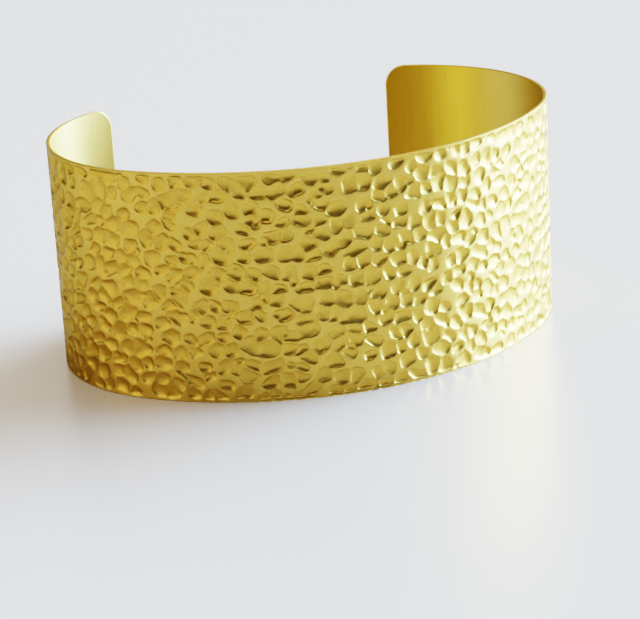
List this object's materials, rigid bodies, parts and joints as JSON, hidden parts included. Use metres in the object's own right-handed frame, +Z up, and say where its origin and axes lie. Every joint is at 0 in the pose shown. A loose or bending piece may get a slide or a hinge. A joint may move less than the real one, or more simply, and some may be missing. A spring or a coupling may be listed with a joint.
{
  "type": "cuff bracelet",
  "caption": "Wide hammered brass cuff bracelet, one strip of sheet bent to an oval that is open at the back, with rounded ends.",
  "frame": {"origin": "middle of the bounding box in plan, on the plane of the lower edge that the cuff stands on", "axes": "+Z up along the wrist, from the lower to the upper edge; the closed front faces -Y and the gap opens at +Y; X runs across the wrist, between the two round sides"},
  "size_m": [0.0722, 0.0476, 0.0318],
  "materials": {
    "hammered_brass": "hammered all over the outer face, satin on the inner face and the cut edges"
  },
  "bodies": {
    "root": {"cuff_band": "hammered_brass"}
  },
  "joints": []
}
